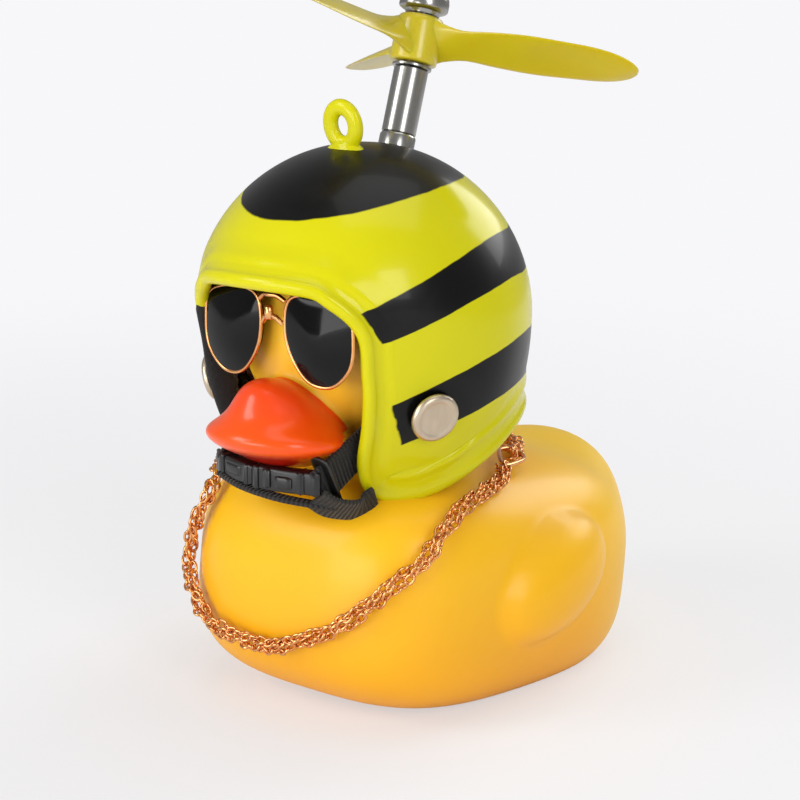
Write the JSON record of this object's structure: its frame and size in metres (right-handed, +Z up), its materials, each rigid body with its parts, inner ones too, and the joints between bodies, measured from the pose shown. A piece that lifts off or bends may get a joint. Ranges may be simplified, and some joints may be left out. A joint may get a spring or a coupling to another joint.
{
  "type": "rubber duck",
  "caption": "Vinyl bath duck wearing a black and yellow striped helmet with a propeller, sunglasses, chin strap and neck chain.",
  "frame": {"origin": "middle of the flat base, under the body, on the surface it stands on", "axes": "+Z up, -Y the way the duck faces, +X the duck's left side"},
  "size_m": [0.0735, 0.0973, 0.1291],
  "materials": {
    "vinyl_yellow": "soft vinyl with a satin sheen",
    "bill_orange_red": "gloss coat, orange above and dark red at the lip",
    "shell_yellow": "gloss greenish yellow",
    "print_black": "gloss black print",
    "lining_black": "soft black lining with folds",
    "webbing_black": "ribbed black webbing",
    "buckle_black": "moulded black plastic",
    "snap_steel": "warm stamped steel",
    "chrome": "polished",
    "copper_gold": "polished copper-gold plate",
    "lens_black": "glossy black, opaque",
    "blade_yellow": "moulded yellow plastic"
  },
  "bodies": {
    "duck": {"duck_body": "vinyl_yellow", "bill_paint": "bill_orange_red", "helmet_shell": "shell_yellow", "helmet_lining": "lining_black", "crown_print": "print_black", "upper_stripe_print": "print_black", "lower_stripe_print": "print_black", "snap_cap_left": "snap_steel", "snap_cap_right": "snap_steel", "snap_stud_left": "snap_steel", "snap_stud_right": "snap_steel", "strap_left": "webbing_black", "strap_right": "webbing_black", "strap_slider": "buckle_black", "buckle_socket": "buckle_black", "buckle_plug": "buckle_black", "lens_left": "lens_black", "lens_right": "lens_black", "glasses_frame": "copper_gold", "spindle_collar": "chrome", "spindle_tube": "chrome", "spindle_screw": "snap_steel", "propeller_washer": "chrome", "cap_nut": "chrome", "neck_chain": "copper_gold", "chain_clasp": "copper_gold"},
    "propeller": {"propeller": "blade_yellow"}
  },
  "joints": [
    {"name": "propeller_spin", "type": "hinge", "parent": "duck", "child": "propeller", "pos_m": [0, 0.00177, 0.11592], "axis": [0, 0.3173, 0.9483], "continuous": true}
  ]
}
